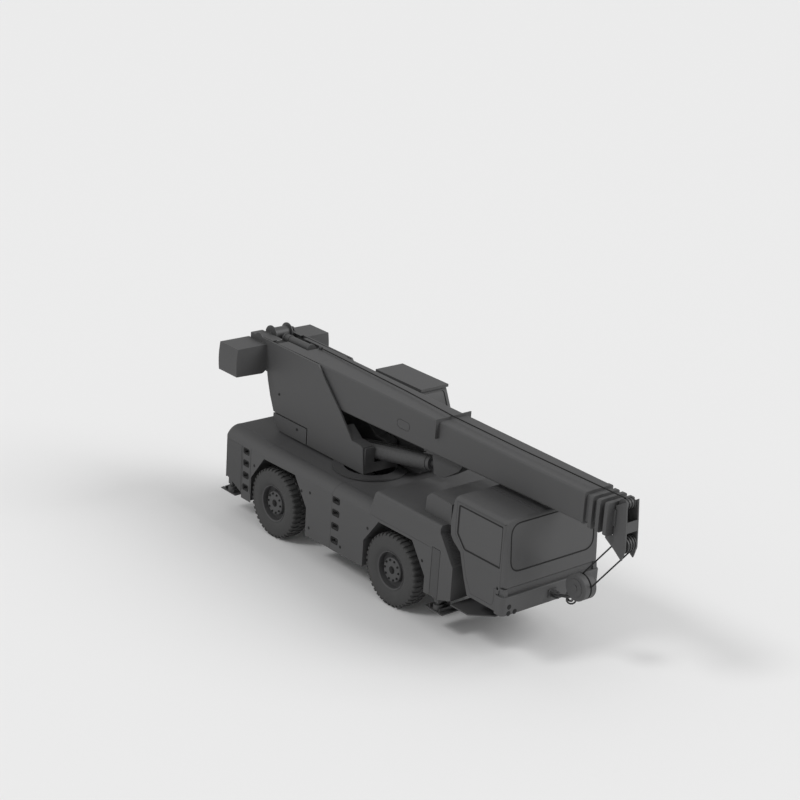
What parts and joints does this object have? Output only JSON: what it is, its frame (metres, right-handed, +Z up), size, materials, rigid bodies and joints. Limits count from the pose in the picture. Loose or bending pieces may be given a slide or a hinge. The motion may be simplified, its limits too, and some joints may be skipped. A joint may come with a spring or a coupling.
{
  "type": "mobile crane",
  "caption": "Two-axle mobile crane with a wide driver's cab, slewing superstructure, telescopic boom, outriggers and a hook block on rope falls.",
  "frame": {"origin": "middle of the bounding box, on the ground", "axes": "+X the travelling direction, +Y the left side, +Z up"},
  "size_m": [10.954, 2.5, 3.98],
  "materials": {
    "paint": "matte",
    "frame_paint": "matte",
    "wheel_paint": "matte",
    "glass": "smooth, tinted",
    "tyre": "matte",
    "steel": "satin",
    "trim": "matte",
    "cast": "matte"
  },
  "bodies": {
    "carrier": {"chassis_frame": "frame_paint", "slew_ring": "steel", "rear_body": "paint", "front_body": "paint", "deck_locker": "paint", "engine": "cast", "front_axle": "cast", "rear_axle": "cast", "cab_shell": "paint", "windscreen": "glass", "cab_interior": "trim", "front_bumper": "paint", "cab_steps": "frame_paint", "tow_coupling": "frame_paint"},
    "cab_door_right": {"cab_door_right": "paint", "cab_door_glass_right": "glass"},
    "cab_door_left": {"cab_door_left": "paint", "cab_door_glass_left": "glass"},
    "superstructure": {"slewing_frame": "paint", "counterweights": "paint", "operator_cab": "paint", "operator_glass": "glass", "operator_seat": "trim"},
    "operator_door": {"operator_door": "paint", "operator_door_glass": "glass"},
    "winch": {"winch_drum": "steel"},
    "luff_barrel": {"luff_barrel": "paint"},
    "luff_rod": {"luff_rod": "steel"},
    "boom_base": {"boom_base": "paint"},
    "boom_section_1": {"boom_section_1": "paint"},
    "boom_section_2": {"boom_section_2": "paint"},
    "boom_section_3": {"boom_section_3": "paint"},
    "boom_section_4": {"boom_section_4": "paint"},
    "head_sheaves": {"head_sheaves": "steel"},
    "top_sheave": {"top_sheave": "steel"},
    "hook": {"hook_block": "paint", "hook_ropes": "steel"},
    "front_right_knuckle": {"front_right_knuckle": "cast"},
    "front_right_wheel": {"front_right_rim": "wheel_paint", "front_right_tyre": "tyre"},
    "front_left_knuckle": {"front_left_knuckle": "cast"},
    "front_left_wheel": {"front_left_rim": "wheel_paint", "front_left_tyre": "tyre"},
    "rear_right_knuckle": {"rear_right_knuckle": "cast"},
    "rear_right_wheel": {"rear_right_rim": "wheel_paint", "rear_right_tyre": "tyre"},
    "rear_left_knuckle": {"rear_left_knuckle": "cast"},
    "rear_left_wheel": {"rear_left_rim": "wheel_paint", "rear_left_tyre": "tyre"},
    "front_right_beam": {"front_right_beam": "frame_paint"},
    "front_right_jack": {"front_right_jack": "steel"},
    "front_left_beam": {"front_left_beam": "frame_paint"},
    "front_left_jack": {"front_left_jack": "steel"},
    "rear_right_beam": {"rear_right_beam": "frame_paint"},
    "rear_right_jack": {"rear_right_jack": "steel"},
    "rear_left_beam": {"rear_left_beam": "frame_paint"},
    "rear_left_jack": {"rear_left_jack": "steel"}
  },
  "joints": [
    {"name": "front_right_steer", "type": "hinge", "parent": "carrier", "child": "front_right_knuckle", "pos_m": [0.444, -0.95, 0.75], "axis": [0, 0, 1], "range_deg": [-35, 35]},
    {"name": "front_right_spin", "type": "hinge", "parent": "front_right_knuckle", "child": "front_right_wheel", "pos_m": [0.444, -1.005, 0.75], "axis": [0, 1, 0], "continuous": true},
    {"name": "front_left_steer", "type": "hinge", "parent": "carrier", "child": "front_left_knuckle", "pos_m": [0.444, 0.95, 0.75], "axis": [0, 0, 1], "range_deg": [-35, 35]},
    {"name": "front_left_spin", "type": "hinge", "parent": "front_left_knuckle", "child": "front_left_wheel", "pos_m": [0.444, 1.005, 0.75], "axis": [0, 1, 0], "continuous": true},
    {"name": "rear_right_steer", "type": "hinge", "parent": "carrier", "child": "rear_right_knuckle", "pos_m": [-3.393, -0.95, 0.75], "axis": [0, 0, 1], "range_deg": [-25, 25]},
    {"name": "rear_right_spin", "type": "hinge", "parent": "rear_right_knuckle", "child": "rear_right_wheel", "pos_m": [-3.393, -1.005, 0.75], "axis": [0, 1, 0], "continuous": true},
    {"name": "rear_left_steer", "type": "hinge", "parent": "carrier", "child": "rear_left_knuckle", "pos_m": [-3.393, 0.95, 0.75], "axis": [0, 0, 1], "range_deg": [-25, 25]},
    {"name": "rear_left_spin", "type": "hinge", "parent": "rear_left_knuckle", "child": "rear_left_wheel", "pos_m": [-3.393, 1.005, 0.75], "axis": [0, 1, 0], "continuous": true},
    {"name": "front_right_beam_slide", "type": "slide", "parent": "carrier", "child": "front_right_beam", "axis": [0, -1, 0], "range_m": [0, 1.35]},
    {"name": "front_right_jack_slide", "type": "slide", "parent": "front_right_beam", "child": "front_right_jack", "axis": [0, 0, -1], "range_m": [0, 0.5]},
    {"name": "front_left_beam_slide", "type": "slide", "parent": "carrier", "child": "front_left_beam", "axis": [0, 1, 0], "range_m": [0, 1.35]},
    {"name": "front_left_jack_slide", "type": "slide", "parent": "front_left_beam", "child": "front_left_jack", "axis": [0, 0, -1], "range_m": [0, 0.5]},
    {"name": "rear_right_beam_slide", "type": "slide", "parent": "carrier", "child": "rear_right_beam", "axis": [0, -1, 0], "range_m": [0, 1.35]},
    {"name": "rear_right_jack_slide", "type": "slide", "parent": "rear_right_beam", "child": "rear_right_jack", "axis": [0, 0, -1], "range_m": [0, 0.5]},
    {"name": "rear_left_beam_slide", "type": "slide", "parent": "carrier", "child": "rear_left_beam", "axis": [0, 1, 0], "range_m": [0, 1.35]},
    {"name": "rear_left_jack_slide", "type": "slide", "parent": "rear_left_beam", "child": "rear_left_jack", "axis": [0, 0, -1], "range_m": [0, 0.5]},
    {"name": "cab_door_right_hinge", "type": "hinge", "parent": "carrier", "child": "cab_door_right", "pos_m": [3.467, -1.1775, 2], "axis": [0, 0, 1], "range_deg": [0, 70]},
    {"name": "cab_door_left_hinge", "type": "hinge", "parent": "carrier", "child": "cab_door_left", "pos_m": [3.467, 1.1775, 2], "axis": [0, 0, -1], "range_deg": [0, 70]},
    {"name": "slew", "type": "hinge", "parent": "carrier", "child": "superstructure", "pos_m": [-1.763, 0, 1.93], "axis": [0, 0, 1], "continuous": true},
    {"name": "operator_door_hinge", "type": "hinge", "parent": "superstructure", "child": "operator_door", "pos_m": [-2.263, 1.2, 2.9], "axis": [0, 0, 1], "range_deg": [0, 90]},
    {"name": "winch_spin", "type": "hinge", "parent": "superstructure", "child": "winch", "pos_m": [-5.123, 0, 3.78], "axis": [0, 1, 0], "continuous": true},
    {"name": "luff", "type": "hinge", "parent": "superstructure", "child": "boom_base", "pos_m": [-4.343, 0, 3.4], "axis": [0, -1, 0], "range_deg": [0, 80]},
    {"name": "luff_barrel_swing", "type": "hinge", "parent": "superstructure", "child": "luff_barrel", "pos_m": [-2.773, 0, 2.09], "axis": [0, -1, 0], "range_deg": [0, 82]},
    {"name": "luff_rod_slide", "type": "slide", "parent": "luff_barrel", "child": "luff_rod", "axis": [0.9826, 0, 0.1856], "range_m": [0, 2.35]},
    {"name": "boom_extend_1", "type": "slide", "parent": "boom_base", "child": "boom_section_1", "axis": [1, 0, 0], "range_m": [0, 5]},
    {"name": "boom_extend_2", "type": "slide", "parent": "boom_section_1", "child": "boom_section_2", "axis": [1, 0, 0], "range_m": [0, 5]},
    {"name": "boom_extend_3", "type": "slide", "parent": "boom_section_2", "child": "boom_section_3", "axis": [1, 0, 0], "range_m": [0, 5]},
    {"name": "boom_extend_4", "type": "slide", "parent": "boom_section_3", "child": "boom_section_4", "axis": [1, 0, 0], "range_m": [0, 5]},
    {"name": "head_sheaves_spin", "type": "hinge", "parent": "boom_section_4", "child": "head_sheaves", "pos_m": [5.317, 0, 2.92], "axis": [0, 1, 0], "continuous": true},
    {"name": "top_sheave_spin", "type": "hinge", "parent": "boom_section_4", "child": "top_sheave", "pos_m": [5.247, 0, 3.67], "axis": [0, 1, 0], "continuous": true},
    {"name": "hook_swing", "type": "hinge", "parent": "boom_section_4", "child": "hook", "pos_m": [5.317, 0, 2.92], "axis": [0, -1, 0], "range_deg": [0, 120]}
  ],
  "couplings": [
    {"joint": "front_left_steer", "follows": "front_right_steer", "ratio": 1},
    {"joint": "rear_left_steer", "follows": "rear_right_steer", "ratio": 1},
    {"joint": "luff_barrel_swing", "follows": "luff", "ratio": 1.02},
    {"joint": "luff_rod_slide", "follows": "luff", "m_per_rad": 1.66},
    {"joint": "boom_extend_2", "follows": "boom_extend_1", "ratio": 1},
    {"joint": "boom_extend_3", "follows": "boom_extend_1", "ratio": 1},
    {"joint": "boom_extend_4", "follows": "boom_extend_1", "ratio": 1}
  ]
}
